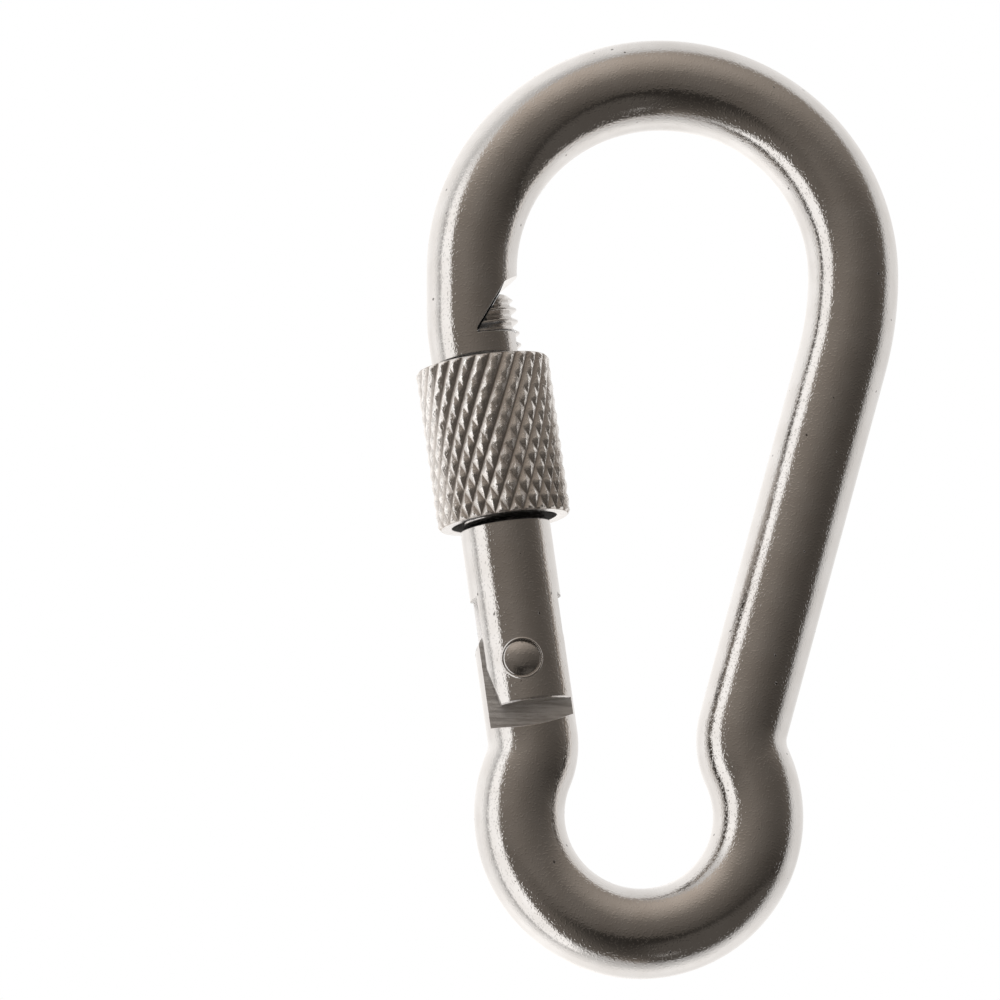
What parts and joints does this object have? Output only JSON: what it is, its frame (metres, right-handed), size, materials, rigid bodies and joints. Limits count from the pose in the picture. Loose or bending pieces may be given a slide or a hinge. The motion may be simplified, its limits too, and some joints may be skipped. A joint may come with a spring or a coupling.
{
  "type": "spring snap hook with screw lock",
  "caption": "Pear-shaped ring of round steel bar closed by a spring-loaded hinged gate, with a knurled sleeve that locks the gate.",
  "frame": {"origin": "centre of the whole hook's box, gate closed and sleeve as pictured", "axes": "+Z runs from the narrow bow to the wide bow, +X from the gate to the straight leg, and Y is the hinge's axis"},
  "size_m": [0.0407, 0.0114, 0.08],
  "materials": {
    "polished_bar": "polished bright steel with a faint grain and fine pits",
    "polished_gate": "polished bright steel with a faint grain",
    "rivet_steel": "polished low dome",
    "knurled_steel": "bright plated diamond knurl",
    "plunger_steel": "turned steel",
    "spring_wire": "drawn spring wire"
  },
  "bodies": {
    "frame": {"hook_frame": "polished_bar"},
    "gate": {"gate": "polished_gate", "hinge_rivet": "rivet_steel"},
    "sleeve": {"lock_sleeve": "knurled_steel"},
    "plunger": {"spring_plunger": "plunger_steel", "gate_spring": "spring_wire"}
  },
  "joints": [
    {"name": "gate_swing", "type": "hinge", "parent": "frame", "child": "gate", "pos_m": [-0.01162, 0, -0.01347], "axis": [0, 1, 0], "range_deg": [0, 25], "stiffness_Nm_per_rad": 0.05, "springref_deg": -28.65},
    {"name": "sleeve_travel", "type": "slide", "parent": "gate", "child": "sleeve", "axis": [-0.1392, 0, 0.9903], "range_m": [-0.004, 0.004]},
    {"name": "plunger_travel", "type": "slide", "parent": "gate", "child": "plunger", "axis": [-0.1392, 0, 0.9903], "range_m": [0, 0.00075], "deforming": ["gate_spring"]}
  ],
  "couplings": [
    {"joint": "plunger_travel", "follows": "gate_swing", "m_per_rad": 0.0015}
  ]
}
